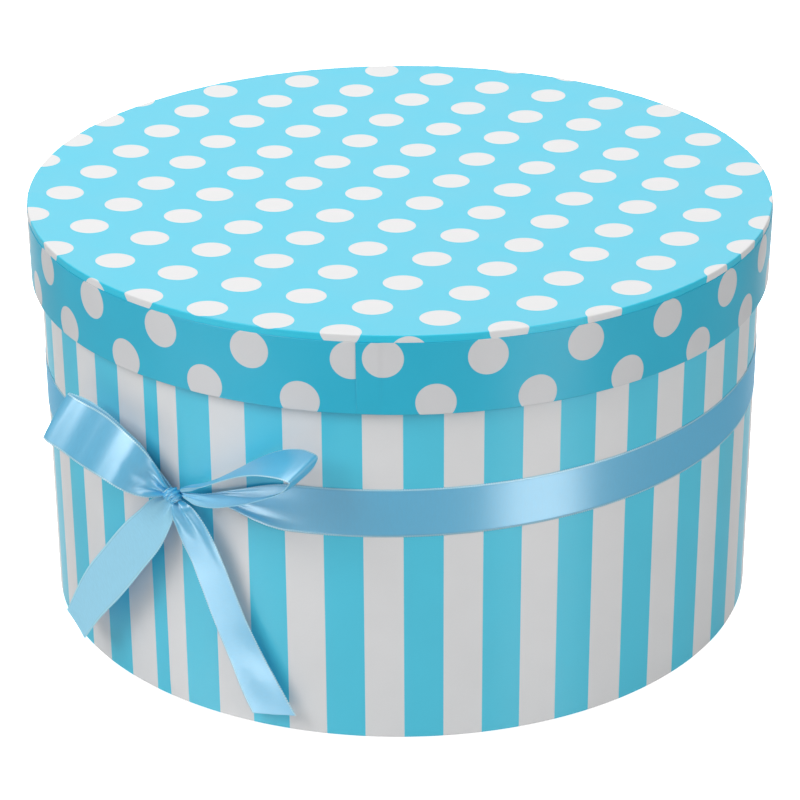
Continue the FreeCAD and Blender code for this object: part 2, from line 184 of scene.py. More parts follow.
# ---- joint tapes
# Gummed kraft paper tape, one strip inside each ring's butt joint, under the lining.
KRAFT_BROWN = (0.42, 0.25, 0.12)
KRAFT_ROUGHNESS = 0.6
kraft, tree, shader = new_material("kraft_tape", KRAFT_BROWN, KRAFT_ROUGHNESS)
place = add_node(tree, "ShaderNodeTexCoord").outputs["Object"]
along_machine = add_node(tree, "ShaderNodeMapping",
                         [("Vector", place), ("Scale", (1.0, 1.0, 0.15))])
add_fibres(tree, shader, along_machine.outputs[0], KRAFT_BROWN, KRAFT_ROUGHNESS, 1800.0, 0.00006)
for node in ("wall_joint_tape", "rim_joint_tape"):
    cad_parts[node].material_slots[0].material = kraft

# ---- plain papers: base cover, floor lining, wall lining, rim lining and lid lining
# Uncoated white paper pasted inside the box and lid and under the foot. The ring linings
# lap over the turned-in edges of the printed papers.
PAPER = 0.0003
HAIR = 0.00002
TURN_IN = 0.015
FOLD = 0.0008
LINING_WHITE = (0.83, 0.82, 0.79)
LINING_ROUGHNESS = 0.75


def section_line(corners, radii, step):
    """Points (radius, height) along a bent sheet's section.

    Each inner corner becomes a quadratic curve that starts and ends one bend radius from
    the corner; the straight runs between are cut into steps, with a short one next to
    each bend so that the flat stays flat.
    """
    corners = np.array(corners, float)
    runs = np.diff(corners, axis=0)
    lengths = np.linalg.norm(runs, axis=1)
    heading = runs / lengths[:, None]
    line = [corners[0]]
    for number, run in enumerate(lengths):
        near = radii[number - 1] if number else 0.0
        far = radii[number] if number < len(radii) else 0.0
        guard = min(0.0006, (run - near - far) / 4)
        count = max(2, int((run - near - far) / step) + 1)
        places = np.concatenate([[near, near + guard],
                                 np.linspace(near + guard, run - far - guard, count)[1:-1],
                                 [run - far - guard, run - far]])
        line.extend(corners[number] + heading[number] * places[1 if not number else 0:, None])
        if far:
            t = np.linspace(0, 1, 8)[1:-1, None]
            corner = corners[number + 1]
            before = corner - heading[number] * far
            after = corner + heading[number + 1] * far
            line.extend((1 - t) ** 2 * before + 2 * t * (1 - t) * corner + t ** 2 * after)
    return np.array(line)


def grid_mesh(name, points, flat, closed=False):
    """A mesh on a grid of points, with a UV map from a grid of flat places in metres.

    The first direction of the grid runs to the right and the second upwards, as seen
    from outside; closed joins the last column to the first.
    """
    columns, rows = points.shape[:2]
    number = np.arange(columns * rows).reshape(columns, rows)
    right = np.roll(number, -1, axis=0)
    if not closed:
        number, right = number[:-1], right[:-1]
    corners = (number[:, :-1], right[:, :-1], right[:, 1:], number[:, 1:])
    faces = np.stack(corners, axis=-1).reshape(-1, 4)
    mesh = bpy.data.meshes.new(name)
    mesh.from_pydata(points.reshape(-1, 3).tolist(), [], faces.tolist())
    mesh.update()
    uv = mesh.uv_layers.new(name="flat")
    uv.data.foreach_set("uv", flat.reshape(-1, 2)[faces.ravel()].ravel())
    mesh.shade_smooth()
    piece = bpy.data.objects.new(name, mesh)
    bpy.context.scene.collection.objects.link(piece)
    return piece


def weld(piece):
    """Join the points that fall together at the middle of a disc."""
    work = bmesh.new()
    work.from_mesh(piece.data)
    bmesh.ops.remove_doubles(work, verts=work.verts, dist=1e-6)
    work.to_mesh(piece.data)
    work.free()


def thicken(piece, thickness, inner_material=0):
    """Give a sheet its thickness, inwards from the face it was drawn on."""
    wall = piece.modifiers.new("thickness", "SOLIDIFY")
    wall.thickness = thickness
    wall.offset = -1
    wall.material_offset = inner_material


def revolved(line, angles, lift=0.0):
    """Carry a section line round the upright axis: (angle, place along the line) -> place.

    Angles run from the bow towards +X. lift raises the sheet off its neighbour, square to
    its own face.
    """
    way = np.gradient(line, axis=0)
    way /= np.linalg.norm(way, axis=1)[:, None]
    radius = line[:, 0] + way[:, 1] * lift
    height = line[:, 1] - way[:, 0] * lift
    turn = angles[:, None]
    shape = np.broadcast_shapes(radius.shape, (len(angles), len(line)))
    return np.stack([np.broadcast_to(radius * np.sin(turn), shape),
                     np.broadcast_to(-radius * np.cos(turn), shape),
                     np.broadcast_to(height, shape)], axis=-1)


def line_length(line):
    """Distance along a section line at each of its points."""
    steps = np.linalg.norm(np.diff(line, axis=0), axis=1)
    return np.concatenate([[0], np.cumsum(steps)])


def finish_paper(piece, material, node, body):
    """Thickness, finish, and the drawing's solid that this sheet stands for."""
    thicken(piece, PAPER)
    piece.data.materials.append(material)
    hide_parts(node)
    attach(piece, body)


lining_paper, tree, shader = new_material("plain_paper", LINING_WHITE, LINING_ROUGHNESS)
place = add_node(tree, "ShaderNodeTexCoord").outputs["Object"]
add_fibres(tree, shader, place, LINING_WHITE, LINING_ROUGHNESS, 1500.0, 0.00004)

ROUND = np.linspace(0, 2 * math.pi, 361)[:-1]


def paper_disc(node, body, radius, height, faces_up):
    """A flat or sunk disc of plain paper, whose height is a function of the radius."""
    reach = np.linspace(radius, 0, 40)
    line = np.stack([reach, height(reach)], axis=1)
    if not faces_up:
        line = line[::-1]
    points = revolved(line, ROUND)
    disc = grid_mesh(node + "_sheet", points, points[..., :2].copy(), closed=True)
    weld(disc)
    finish_paper(disc, lining_paper, node, body)


LID_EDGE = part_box("lid_top_paper")[1].z
LID_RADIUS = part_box("rim_wrap_paper")[1].x
SAG = LID_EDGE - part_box("lid_lining_paper")[0].z - 2 * PAPER - BOARD


def sunk(level):
    """Heights of the sagging lid: a parabola that reaches this level at the lid's edge."""
    return lambda radius: level - SAG * (1 - (radius / LID_RADIUS) ** 2)


floor_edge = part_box("base_lining_paper")[1]
foot_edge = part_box("base_cover_paper")[1]
lid_lining_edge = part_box("lid_lining_paper")[1]
lid_underside = LID_EDGE - 2 * PAPER - BOARD
paper_disc("base_lining_paper", "box", floor_edge.x, lambda r: np.full_like(r, floor_edge.z), True)
paper_disc("base_cover_paper", "box", foot_edge.x, lambda r: np.zeros_like(r), False)
paper_disc("lid_lining_paper", "lid", lid_lining_edge.x, sunk(lid_underside), False)


def ring_lining(node, body, low_radius, high_radius, low, high, step_up, start):
    """A lining strip once round the inside; it steps over one paper at a turned-in edge."""
    corners = [(high_radius, high), (high_radius, step_up + 2 * PAPER),
               (low_radius, step_up), (low_radius, low)]
    line = section_line(corners, [PAPER, PAPER], 0.008)
    angles = math.radians(start) + np.linspace(0, 2 * math.pi, 361)
    points = revolved(line, angles)
    around = np.broadcast_to((angles * low_radius)[:, None], points.shape[:2])
    flat = np.stack([around, points[..., 2]], axis=-1)
    strip = grid_mesh(node + "_sheet", points, flat)
    finish_paper(strip, lining_paper, node, body)


wall_low, wall_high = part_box("wall_wrap_paper")
WALL_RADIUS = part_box("wall_board")[1].x + PAPER
WALL_INSIDE = WALL_RADIUS - PAPER - BOARD
WALL_LINING_SEAM = 196.0
ring_lining("wall_lining_paper", "box", WALL_INSIDE - PAPER, WALL_INSIDE - 2 * PAPER,
            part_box("wall_lining_paper")[0].z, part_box("wall_lining_paper")[1].z,
            wall_high.z - TURN_IN - PAPER, WALL_LINING_SEAM)
rim_low, rim_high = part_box("rim_wrap_paper")
RIM_INSIDE = LID_RADIUS - 3 * PAPER - BOARD
RIM_LINING_SEAM = 246.0
ring_lining("rim_lining_paper", "lid", RIM_INSIDE - PAPER, RIM_INSIDE,
            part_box("rim_lining_paper")[0].z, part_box("rim_lining_paper")[1].z,
            rim_low.z + TURN_IN + PAPER, RIM_LINING_SEAM)

# ---- wall paper
# Coated paper printed with upright cyan and white stripes, wrapped once round the wall,
# turned over its upper edge and under the foot; its end laps over its start at the seam.
# Places round the wall are in degrees from the bow, to the right of it.
CYAN_WALL = (0.085, 0.655, 0.87)
PRINT_WHITE = (0.84, 0.84, 0.845)
STRIPE_DEGREES = 5.8585
STRIPE = math.radians(STRIPE_DEGREES) * WALL_RADIUS
STRIPE_EDGE = BOW_TO_CAMERA + 0.27
STRIPE_SLIP = 0.35
WALL_SEAM = -4.0
SEAM_LAP = 0.010
SEAM_EASE = 0.003
INK_WOBBLE = 0.00012
WAVE_INK_EDGE = 0.03


def smooth_step(x):
    """Zero below 0, one above 1, and a smooth S between."""
    x = np.clip(x, 0, 1)
    return x * x * (3 - 2 * x)


def wrap_strip(name, line, seam, radius, lapped, flat_place):
    """A printed strip once round a ring, from under its own end to the seam.

    It starts under the lap and runs clockwise; over the lap it lies one paper further
    out, easing up to that over a few millimetres. lapped says how much of that lift each
    place along the section gets.
    """
    lap = SEAM_LAP / radius
    ease = SEAM_EASE / radius
    whole = 2 * math.pi + lap
    gone = np.concatenate([np.linspace(0, whole - lap - ease, 481)[:-1],
                           np.linspace(whole - lap - ease, whole, 40)])
    over = smooth_step((gone - (whole - lap - ease)) / ease)
    lift = (over * (PAPER + HAIR))[:, None] * lapped
    angles = math.radians(seam) + lap - gone
    points = revolved(line, angles[::-1], lift[::-1])
    flat = flat_place(np.degrees(angles[::-1])[:, None], gone[::-1][:, None] / whole, line)
    return grid_mesh(name, points, flat)


def printed_mask(tree, signed, softness):
    """One where the signed value is above zero and none below, over a soft ink edge."""
    scaled = add_node(tree, "ShaderNodeMath", [(0, signed), (1, 1 / softness), (2, 0.5)],
                      operation="MULTIPLY_ADD", use_clamp=True)
    return scaled.outputs[0]


def printed_stripes():
    """Upright stripes from flat places in metres: the sign of a sine across them."""
    tree, given, wanted = new_group(
        "printed_stripes", [("Place", "Vector"), ("Turn", "Float")], [("Ink", "Float")])
    across = add_node(tree, "ShaderNodeSeparateXYZ", [(0, given["Place"])]).outputs["X"]
    wobble = add_node(tree, "ShaderNodeTexNoise", [("Vector", given["Place"]), ("Scale", 900.0)])
    shifted = add_node(tree, "ShaderNodeMath",
                       [(0, wobble.outputs["Fac"]), (1, INK_WOBBLE), (2, across)],
                       operation="MULTIPLY_ADD")
    turn = add_node(tree, "ShaderNodeMath", [(0, shifted.outputs[0]), (1, given["Turn"])],
                    operation="MULTIPLY")
    wave = add_node(tree, "ShaderNodeMath", [(0, turn.outputs[0])], operation="SINE")
    tree.links.new(printed_mask(tree, wave.outputs[0], WAVE_INK_EDGE), wanted["Ink"])
    return tree


def printed_paper(name, ink, roughness, pattern, settings, white=PRINT_WHITE):
    """Coated paper: a pattern of ink on white under a thin glossy varnish."""
    material, tree, shader = new_material(name, ink, roughness)
    shader.inputs["Specular IOR Level"].default_value = 0.5
    shader.inputs["Coat Weight"].default_value = 0.35
    shader.inputs["Coat Roughness"].default_value = 0.22
    flat = add_node(tree, "ShaderNodeUVMap", uv_map="flat").outputs[0]
    group = add_node(tree, "ShaderNodeGroup", node_tree=pattern)
    tree.links.new(flat, group.inputs["Place"])
    for word, size in settings.items():
        group.inputs[word].default_value = size
    colour = add_node(tree, "ShaderNodeMix", data_type="RGBA")
    tree.links.new(group.outputs["Ink"], colour.inputs[0])
    colour.inputs[6].default_value = (*white, 1)
    colour.inputs[7].default_value = (*ink, 1)
    add_fibres(tree, shader, flat, colour.outputs[2], roughness, 1100.0, 0.000012)
    return material


def stripe_place(degrees_from_bow, gone, line):
    """Across is the stripe's number times its width; up is the length along the section.

    To the right of the seam the edges fall on a fixed beat; round the unseen back the
    print is eased by a third of a stripe, so that it falls in place on the seam's left too.
    """
    number = (degrees_from_bow + 360 - STRIPE_EDGE) / STRIPE_DEGREES
    unseen_back = smooth_step(((1 - gone) - 0.35) / 0.4)
    across = (number - STRIPE_SLIP * unseen_back) * STRIPE
    height = np.broadcast_to(line_length(line), (len(across), len(line)))
    return np.stack([np.broadcast_to(across, height.shape), height], axis=-1)


striped_paper = printed_paper("striped_paper", CYAN_WALL, 0.42, printed_stripes(),
                              {"Turn": math.pi / STRIPE})
wall_line = section_line(
    [(WALL_RADIUS - TURN_IN, wall_low.z), (WALL_RADIUS, wall_low.z), (WALL_RADIUS, wall_high.z),
     (WALL_INSIDE - PAPER, wall_high.z), (WALL_INSIDE - PAPER, wall_high.z - TURN_IN)],
    [FOLD, FOLD, FOLD], 0.008)
outer_face = wall_line[:, 0] > WALL_RADIUS - 0.0001
on_the_wall = smooth_step((wall_line[:, 1] - wall_low.z - 0.001) / 0.004) * outer_face
wall_wrap = wrap_strip("wall_wrap_sheet", wall_line, WALL_SEAM, WALL_RADIUS, on_the_wall,
                       stripe_place)
finish_paper(wall_wrap, striped_paper, "wall_wrap_paper", "box")

# ---- rim paper
# A dotted strip over the turned-down edge of the lid's top paper, turned in under the
# rim's lower edge. Its seam stands to the right of the bow. It has the same cyan and white
# dotted print as the lid's top, but its cyan and white are painted darker than the lid's:
# painted shade on the upright rim, which gets less light than the top. Dots are placed in
# degrees from the bow, and rows up from the lower edge.
# The rim's cyan and white are the lid's colours darkened: painted shade, not a darker ink.
CYAN_RIM_PAINTED_SHADE = (0.015, 0.51, 0.73)
RIM_WHITE_PAINTED_SHADE = (0.73, 0.735, 0.75)
DOT = 0.0095
DOT_INK_EDGE = 0.00025
RIM_SEAM = 28.3
RIM_DOT_DEGREES = 14.54
RIM_DOT_BEFORE_SEAM = 27.6
RIM_DOT_AFTER_SEAM = 32.05
RIM_DOTS_AROUND = 24
RIM_PITCH = math.radians(RIM_DOT_DEGREES) * LID_RADIUS
RIM_EASE = (360 + RIM_DOT_BEFORE_SEAM - RIM_DOT_AFTER_SEAM) / RIM_DOT_DEGREES - RIM_DOTS_AROUND
RIM_ROW = 0.0222
UPPER_ROW = 0.0283
PRINT_SWAY = 0.0016
PRINT_FALL = 0.00065


def printed_dots():
    """Ink all over but for round dots in staggered rows, from flat places in metres.

    Two plain lattices stand half a pitch and one row apart; a place's distance is to the
    nearest dot of either, and there is ink where that is more than a dot's radius.
    """
    tree, given, wanted = new_group(
        "printed_dots",
        [("Place", "Vector"), ("Pitch", "Float"), ("Row", "Float"), ("Radius", "Float")],
        [("Ink", "Float")],
    )
    two_rows = add_node(tree, "ShaderNodeMath", [(0, given["Row"]), (1, 2.0)],
                        operation="MULTIPLY")
    cell = add_node(tree, "ShaderNodeCombineXYZ",
                    [("X", given["Pitch"]), ("Y", two_rows.outputs[0]), ("Z", 1.0)])
    half = add_node(tree, "ShaderNodeVectorMath", [(0, cell.outputs[0])], operation="SCALE")
    half.inputs["Scale"].default_value = 0.5
    less = add_node(tree, "ShaderNodeVectorMath", [(0, cell.outputs[0])], operation="SCALE")
    less.inputs["Scale"].default_value = -0.5
    moved = add_node(tree, "ShaderNodeVectorMath", [(0, given["Place"]), (1, half.outputs[0])],
                     operation="ADD")
    reaches = []
    for start in (given["Place"], moved.outputs[0]):
        near = add_node(tree, "ShaderNodeVectorMath",
                        [(0, start), (1, half.outputs[0]), (2, less.outputs[0])],
                        operation="WRAP")
        level = add_node(tree, "ShaderNodeVectorMath",
                         [(0, near.outputs[0]), (1, (1.0, 1.0, 0.0))],
                         operation="MULTIPLY")
        reach = add_node(tree, "ShaderNodeVectorMath", [(0, level.outputs[0])],
                         operation="LENGTH")
        reaches.append(reach.outputs["Value"])
    nearest = add_node(tree, "ShaderNodeMath", [(0, reaches[0]), (1, reaches[1])],
                       operation="MINIMUM")
    outside = add_node(tree, "ShaderNodeMath",
                       [(0, nearest.outputs[0]), (1, given["Radius"])],
                       operation="SUBTRACT")
    tree.links.new(printed_mask(tree, outside.outputs[0], DOT_INK_EDGE), wanted["Ink"])
    return tree


PRINTED_DOTS = printed_dots()


def rim_place(degrees_from_bow, gone, line):
    """Places on the rim's printed dots, whose rows don't run quite level.

    Across is counted from a dot of the upper row just right of the seam, with the unseen
    back eased by part of a pitch; up is measured from the upper row of dots, plus a slow
    wave round the lid and an even fall from the strip's one end to its other.
    """
    pitches = (degrees_from_bow + 360 - RIM_DOT_AFTER_SEAM) / RIM_DOT_DEGREES
    unseen_back = smooth_step(((1 - gone) - 0.3) / 0.45)
    across = (pitches - RIM_EASE * unseen_back) * RIM_PITCH
    sway = PRINT_SWAY * np.sin(np.radians(degrees_from_bow - 20))
    fall = PRINT_FALL * (1 - 2 * (1 - gone))
    up_the_rim = line_length(line) - line_length(line)[-1] + (rim_high.z - rim_low.z)
    height = up_the_rim[None, :] - (UPPER_ROW - (sway - fall))
    return np.stack([np.broadcast_to(across, height.shape), height], axis=-1)


# The rim's material takes the darkened colours above, so its print carries painted shade.
dotted_rim_painted_shade = printed_paper("dotted_rim_paper_painted_shade", CYAN_RIM_PAINTED_SHADE, 0.40, PRINTED_DOTS,
                           {"Pitch": RIM_PITCH, "Row": RIM_ROW, "Radius": DOT}, RIM_WHITE_PAINTED_SHADE)
FOLD_OUT = LID_RADIUS - PAPER
JOG = LID_EDGE - TURN_IN
JOG_RUN = 0.014
SOFT_BEND = 0.0045
rim_line = section_line(
    [(RIM_INSIDE, rim_low.z + TURN_IN), (RIM_INSIDE, rim_low.z), (FOLD_OUT, rim_low.z),
     (FOLD_OUT, JOG - JOG_RUN), (LID_RADIUS, JOG), (LID_RADIUS, rim_high.z)],
    [FOLD, FOLD, SOFT_BEND, SOFT_BEND], 0.003)
outer_face = rim_line[:, 0] > FOLD_OUT - 0.0001
on_the_rim = smooth_step((rim_line[:, 1] - rim_low.z - 0.001) / 0.003) * outer_face
rim_wrap = wrap_strip("rim_wrap_sheet", rim_line, RIM_SEAM, LID_RADIUS, on_the_rim, rim_place)
finish_paper(rim_wrap, dotted_rim_painted_shade, "rim_wrap_paper", "lid")

# ---- lid's top paper
# A dotted disc over the sagging lid board, folded down over the rim's upper edge. The
# spare paper of the fold lies in small flat pleats that show above the rim paper. The
# dots stand on a square grid, so along its diagonal they are the same staggered rows.
CYAN_TOP = (0.02, 0.64, 0.87)
TOP_TURN = 10.01
DIAGONAL = math.radians(TOP_TURN + 45)
DOT_PITCH = 0.03407
FIRST_DOT = (0.01933, -0.00602)
PLEAT = 0.00009


def pleats(angles):
    """Small uneven ridges round the fold: the peaks of three waves that never line up."""
    waves = np.sin(47 * angles + 0.6)
    waves += 0.8 * np.sin(83 * angles + 2.1)
    waves += 0.6 * np.sin(131 * angles + 4.0)
    return np.clip(waves - 0.7, 0, None) ** 1.5


top_line = section_line(
    [(FOLD_OUT, JOG + 0.001), (FOLD_OUT, LID_EDGE), (0.0, LID_EDGE)], [FOLD], 0.006)
top_line[:, 1] -= SAG * (1 - (top_line[:, 0] / LID_RADIUS) ** 2)
fine_round = np.linspace(0, 2 * math.pi, 1441)[:-1]
at_fold = smooth_step((top_line[:, 0] - FOLD_OUT + 0.0022) / 0.0018)
pleat_lift = PLEAT * pleats(fine_round)[:, None] * at_fold
top_points = revolved(top_line, fine_round, pleat_lift)
from_middle = line_length(top_line)[-1] - line_length(top_line)
turned_place = fine_round[:, None] - math.pi / 2 - DIAGONAL
first_dot = Matrix.Rotation(-DIAGONAL, 2) @ Vector(FIRST_DOT)
top_flat = np.stack([from_middle * np.cos(turned_place) - first_dot.x,
                     from_middle * np.sin(turned_place) - first_dot.y], axis=-1)
lid_top = grid_mesh("lid_top_sheet", top_points, top_flat, closed=True)
weld(lid_top)
diagonal_dots = {"Pitch": DOT_PITCH * math.sqrt(2), "Row": DOT_PITCH / math.sqrt(2), "Radius": DOT}
dotted_top = printed_paper("dotted_top_paper", CYAN_TOP, 0.36, PRINTED_DOTS, diagonal_dots)
finish_paper(lid_top, dotted_top, "lid_top_paper", "lid")

# ---- ribbon cloth
# Single-faced polyester satin, 25 mm wide: long floats make one side bright and smooth,
# the other side is dull and paler, and a looped picot edge shows as a row of stitches.
RIBBON = 0.025
RIBBON_BLUE = (0.035, 0.54, 0.90)
RIBBON_BACK = (0.37, 0.76, 0.97)
RIBBON_EDGE = (0.50, 0.86, 1.0)
SATIN_GLINT = (0.88, 0.96, 1.0)
PICOT = 0.0012
PICOT_DEPTH = 0.0002
CLOTH = 0.00025


def satin_weave():
    """Weave and picot edge from flat places in metres: X across the ribbon, Y along it."""
    tree, given, wanted = new_group(
        "satin_weave",
        [("Place", "Vector")],
        [("Edge", "Float"), ("Groove", "Float"), ("Height", "Float"), ("Mottle", "Float")],
    )
    parts = add_node(tree, "ShaderNodeSeparateXYZ", [(0, given["Place"])])
    across = add_node(tree, "ShaderNodeMath", [(0, parts.outputs["X"])], operation="ABSOLUTE")
    inward = add_node(tree, "ShaderNodeMath", [(0, RIBBON / 2), (1, across.outputs[0])],
                      operation="SUBTRACT")
    rim = add_node(tree, "ShaderNodeMapRange",
                   [("Value", inward.outputs[0]), ("From Min", 0.0006), ("From Max", 0.0009),
                    ("To Min", 1.0), ("To Max", 0.0)])
    beat = add_node(tree, "ShaderNodeMath", [(0, parts.outputs["Y"]), (1, 2 * math.pi / PICOT)],
                    operation="MULTIPLY")
    stitch = add_node(tree, "ShaderNodeMath", [(0, beat.outputs[0])], operation="SINE")
    stitch_on = add_node(tree, "ShaderNodeMapRange",
                         [("Value", stitch.outputs[0]), ("From Min", -0.8), ("From Max", 0.4),
                          ("To Min", 0.45), ("To Max", 1.0)])
    edge = add_node(tree, "ShaderNodeMath", [(0, rim.outputs[0]), (1, stitch_on.outputs[0])],
                    operation="MULTIPLY")
    groove = add_node(tree, "ShaderNodeMath",
                      [(0, inward.outputs[0]), (1, 0.00105), (2, 0.00035)],
                      operation="COMPARE")
    threads = add_node(tree, "ShaderNodeMapping",
                       [("Vector", given["Place"]), ("Scale", (5200.0, 420.0, 1.0))])
    floats = add_node(tree, "ShaderNodeTexNoise",
                      [("Vector", threads.outputs[0]), ("Scale", 1.0), ("Detail", 2.0)])
    picks = add_node(tree, "ShaderNodeMapping",
                     [("Vector", given["Place"]), ("Scale", (260.0, 900.0, 1.0))])
    bars = add_node(tree, "ShaderNodeTexNoise",
                    [("Vector", picks.outputs[0]), ("Scale", 1.0), ("Detail", 3.0)])
    tree.links.new(edge.outputs[0], wanted["Edge"])
    tree.links.new(groove.outputs[0], wanted["Groove"])
    tree.links.new(floats.outputs["Fac"], wanted["Height"])
    tree.links.new(bars.outputs["Fac"], wanted["Mottle"])
    return tree


SATIN_WEAVE = satin_weave()


def ribbon_material(name, blue, roughness, specular, index):
    """One side of the satin, with highlights that its threads stretch one way."""
    material, tree, shader = new_material(name, blue, roughness)
    shader.inputs["Specular IOR Level"].default_value = specular
    shader.inputs["IOR"].default_value = index
    shader.inputs["Specular Tint"].default_value = (*SATIN_GLINT, 1)
    shader.inputs["Anisotropic"].default_value = 0.75
    flat = add_node(tree, "ShaderNodeUVMap", uv_map="flat").outputs[0]
    weave = add_node(tree, "ShaderNodeGroup", node_tree=SATIN_WEAVE)
    tree.links.new(flat, weave.inputs["Place"])
    mottled = add_node(tree, "ShaderNodeMapRange",
                       [("Value", weave.outputs["Mottle"]), ("From Min", 0.3), ("From Max", 0.7),
                        ("To Min", 0.975), ("To Max", 1.025)])
    grooved = add_node(tree, "ShaderNodeMath",
                       [(0, weave.outputs["Groove"]), (1, -0.07), (2, mottled.outputs[0])],
                       operation="MULTIPLY_ADD")
    cloth = add_node(tree, "ShaderNodeMix", data_type="RGBA", blend_type="MULTIPLY")
    cloth.inputs[0].default_value = 1
    cloth.inputs[6].default_value = (*blue, 1)
    tree.links.new(grooved.outputs[0], cloth.inputs[7])
    edged = add_node(tree, "ShaderNodeMix", data_type="RGBA")
    tree.links.new(weave.outputs["Edge"], edged.inputs[0])
    tree.links.new(cloth.outputs[2], edged.inputs[6])
    edged.inputs[7].default_value = (*RIBBON_EDGE, 1)
    tree.links.new(edged.outputs[2], shader.inputs["Base Color"])
    rough = add_node(tree, "ShaderNodeMapRange",
                     [("Value", weave.outputs["Mottle"]), ("From Min", 0.3), ("From Max", 0.7),
                      ("To Min", roughness - 0.03), ("To Max", roughness + 0.03)])
    tree.links.new(rough.outputs[0], shader.inputs["Roughness"])
    bump = add_node(tree, "ShaderNodeBump",
                    [("Height", weave.outputs["Height"]), ("Strength", 0.3), ("Distance", 0.00002)])
    tree.links.new(bump.outputs[0], shader.inputs["Normal"])
    tangent = add_node(tree, "ShaderNodeTangent", direction_type="UV_MAP", uv_map="flat")
    tree.links.new(tangent.outputs[0], shader.inputs["Tangent"])
    return material


satin_face = ribbon_material("satin_face", RIBBON_BLUE, 0.40, 1.0, 2.4)
satin_back = ribbon_material("satin_back", RIBBON_BACK, 0.6, 0.3, 1.5)
KNOT = (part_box("bow_knot")[0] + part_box("bow_knot")[1]) / 2


def picot_teeth(along):
    """How far the looped edge stands out: a sine with one wave to every stitch."""
    return PICOT_DEPTH * np.sin(along * 2 * math.pi / PICOT)


def finish_ribbon(piece, node, turned_over=False):
    """Both sides of the cloth, its thickness, and the solid that it stands for.

    The side that the grid was drawn on is the bright one, and turned over the dull one.
    """
    sides = [satin_back, satin_face] if turned_over else [satin_face, satin_back]
    for side in sides:
        piece.data.materials.append(side)
    thicken(piece, CLOTH, inner_material=1)
    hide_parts(node)
    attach(piece, "box")


# ---- ribbon band
# The ribbon round the body, a little higher at the back than at the bow. Each end narrows
# into small folds and lifts off the wall as it runs into the knot. To the right of the bow
# its lower edge curls out; places round the wall are in degrees from the bow.
BAND_MIDDLE = 0.12435
BAND_RISE = 0.00325
BAND_HIGHEST = math.radians(145.3)
BAND_RADIUS = WALL_RADIUS + CLOTH + 0.0001
BAND_LIFT = 0.0048
GATHERED = 0.0016
GATHERED_FOLD = 0.0011
SOFT_FOLD = 0.0007
CURL = 0.0016
CURL_RISE = 0.0012
CURL_AT = 13.5
around_step = 0.0004 / BAND_RADIUS
band_angle = np.arange(math.radians(0.9), math.radians(359.1), around_step)
from_knot = np.degrees(np.minimum(band_angle, 2 * math.pi - band_angle))
right_side = band_angle < math.pi
spread = smooth_step((from_knot - 3) / np.where(right_side, 15, 11))
half_width = GATHERED + (RIBBON / 2 - GATHERED) * spread
level = BAND_MIDDLE + BAND_RISE * np.cos(band_angle - BAND_HIGHEST)
level = level + (KNOT.z - level) * (1 - smooth_step((from_knot - 1) / 9))
lifted = BAND_LIFT * (1 - smooth_step((from_knot - 0.5) / 8))
across = np.linspace(-1, 1, 17)
tight = GATHERED_FOLD * (1 - spread) * smooth_step(from_knot / 2)
soft = SOFT_FOLD * np.exp(-((from_knot - 12) / 5) ** 2)
folds = tight[:, None] * np.sin(across * 7 + 1.2)
folds += soft[:, None] * (np.sin(across * 5.0 + 2.4) + 1)
lower_edge = smooth_step(-across * 3 - 1.6)
curled = np.exp(-((np.degrees(band_angle) - CURL_AT) / 3.2) ** 2)[:, None] * lower_edge
band_along = band_angle * BAND_RADIUS
teeth = picot_teeth(band_along)[:, None] * np.where(np.abs(across) > 0.99, np.sign(across), 0)
reach = BAND_RADIUS + lifted[:, None] + np.abs(folds) + CURL * curled
up = level[:, None] + half_width[:, None] * across + teeth + CURL_RISE * curled * lower_edge
band_points = np.stack([reach * np.sin(band_angle)[:, None],
                        -reach * np.cos(band_angle)[:, None], up], axis=-1)
band_flat = np.stack(np.broadcast_arrays(across * RIBBON / 2, band_along[:, None]), axis=-1)
band = grid_mesh("satin_band", band_points, band_flat)
finish_ribbon(band, "ribbon_band")

# ---- bow loops and tails
# More of the same ribbon. Each stretch is a surface ruled between two smooth edges; by
# the knot the spare width is taken up in pleats, and both tails' cut ends are slanted.
PLEATS_END = 0.024


def smooth_edges(stations, step):
    """Two smooth edges through pairs of points in mm, sampled at equal steps of their middle.

    The edges are cubic curves; the slope at each station comes from the stations either
    side of it.
    """
    pairs = np.array(stations, float) / 1000
    gaps = np.linalg.norm(np.diff(pairs.mean(axis=1), axis=0), axis=1)
    at = np.concatenate([[0], np.cumsum(gaps)])
    slope = np.gradient(pairs, at, axis=0)

    def curve(t):
        i = np.clip(np.searchsorted(at, t, side="right") - 1, 0, len(at) - 2)
        span = (at[i + 1] - at[i])[:, None, None]
        u = (t - at[i])[:, None, None] / span
        return ((2 * u ** 3 - 3 * u ** 2 + 1) * pairs[i]
                + (u ** 3 - 2 * u ** 2 + u) * span * slope[i]
                + (3 * u ** 2 - 2 * u ** 3) * pairs[i + 1]
                + (u ** 3 - u ** 2) * span * slope[i + 1])

    rough = np.linspace(0, at[-1], 2000)
    length = line_length(curve(rough).mean(axis=1))
    return curve(np.interp(np.arange(0, length[-1], step), length, rough))


